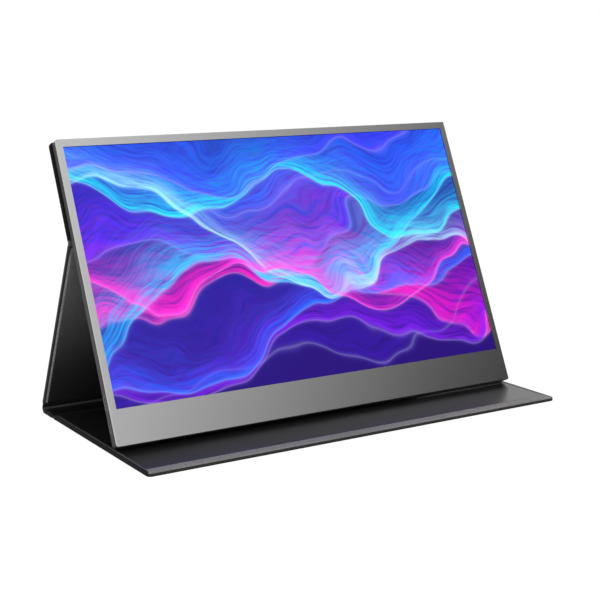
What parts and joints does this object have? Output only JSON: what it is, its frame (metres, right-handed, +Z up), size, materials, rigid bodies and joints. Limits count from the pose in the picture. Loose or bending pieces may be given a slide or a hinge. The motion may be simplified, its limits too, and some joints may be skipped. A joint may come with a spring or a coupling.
{
  "type": "portable monitor with folding cover",
  "caption": "Slim portable monitor leaning on a folding cover that forms its stand, with a grey bezel and a deep chin.",
  "frame": {"origin": "middle of the cover's footprint, on the surface that it stands on", "axes": "+X along the screen to its right as seen from the front, +Y to the back, +Z up"},
  "size_m": [0.3594, 0.1946, 0.2162],
  "materials": {
    "bezel_grey": "satin anodised grey",
    "shell_grey": "satin dark grey",
    "screen": "lit panel behind matt glass",
    "diffuser": "milky film",
    "guide": "clear acrylic",
    "emitter": "phosphor yellow",
    "sheet_steel": "plain sheet",
    "circuit_board": "solder mask green",
    "film": "amber film",
    "ribbon": "pale flat cable",
    "socket_metal": "drawn metal",
    "black_plastic": "moulded black",
    "key_plastic": "moulded dark grey",
    "lead": "red insulation",
    "clear_plastic": "clear light pipe",
    "cover_skin": "black coated leathercloth, semi-matt",
    "cover_board": "pressed fibre board",
    "pad": "soft clinging pad",
    "cover_lining": "smooth dark lining with a soft sheen",
    "magnet": "plated disc"
  },
  "bodies": {
    "flap": {"flap_skin": "cover_skin", "flap_board": "cover_board", "flap_lining": "cover_lining", "spine_board": "cover_board", "spine_lining": "cover_lining", "rear_fold": "cover_skin", "flap_magnets": "magnet"},
    "strut": {"strut_skin": "cover_skin", "strut_board": "cover_board", "strut_lining": "cover_lining", "upper_fold": "cover_skin"},
    "monitor": {"front_bezel": "bezel_grey", "rear_shell": "shell_grey", "lcd_cell": "screen", "optical_sheets": "diffuser", "light_guide": "guide", "reflector_sheet": "diffuser", "led_strip": "emitter", "panel_tray": "sheet_steel", "panel_board": "circuit_board", "source_films": "film", "display_cable": "ribbon", "main_board": "circuit_board", "video_socket": "socket_metal", "data_socket": "socket_metal", "audio_socket": "black_plastic", "key_board": "circuit_board", "key_cable": "ribbon", "speaker_left": "black_plastic", "speaker_right": "black_plastic", "speaker_leads": "lead", "board_screws": "sheet_steel", "status_light": "clear_plastic", "back_skin": "cover_skin", "back_board": "cover_board", "cling_pad": "pad"},
    "power_key": {"power_button": "key_plastic"},
    "wheel": {"menu_wheel": "key_plastic"}
  },
  "joints": [
    {"name": "rear_fold_turn", "type": "hinge", "parent": "flap", "child": "strut", "pos_m": [0, 0.0938, 0.0035], "axis": [1, 0, 0], "range_deg": [-24.5, 63]},
    {"name": "upper_fold_turn", "type": "hinge", "parent": "strut", "child": "monitor", "pos_m": [0, 0.02879, 0.14238], "axis": [1, 0, 0], "range_deg": [-126, 49]},
    {"name": "power_press", "type": "slide", "parent": "monitor", "child": "power_key", "axis": [-1, 0, 0], "range_m": [0, 0.0004], "stiffness_N_per_m": 900, "springref_m": -0.0003},
    {"name": "menu_rock", "type": "hinge", "parent": "monitor", "child": "wheel", "pos_m": [0.1729, -0.02658, 0.03206], "axis": [0, 0.9128, -0.4083], "range_deg": [-12, 12], "stiffness_Nm_per_rad": 0.02}
  ],
  "couplings": [
    {"joint": "upper_fold_turn", "follows": "rear_fold_turn", "ratio": -2}
  ]
}
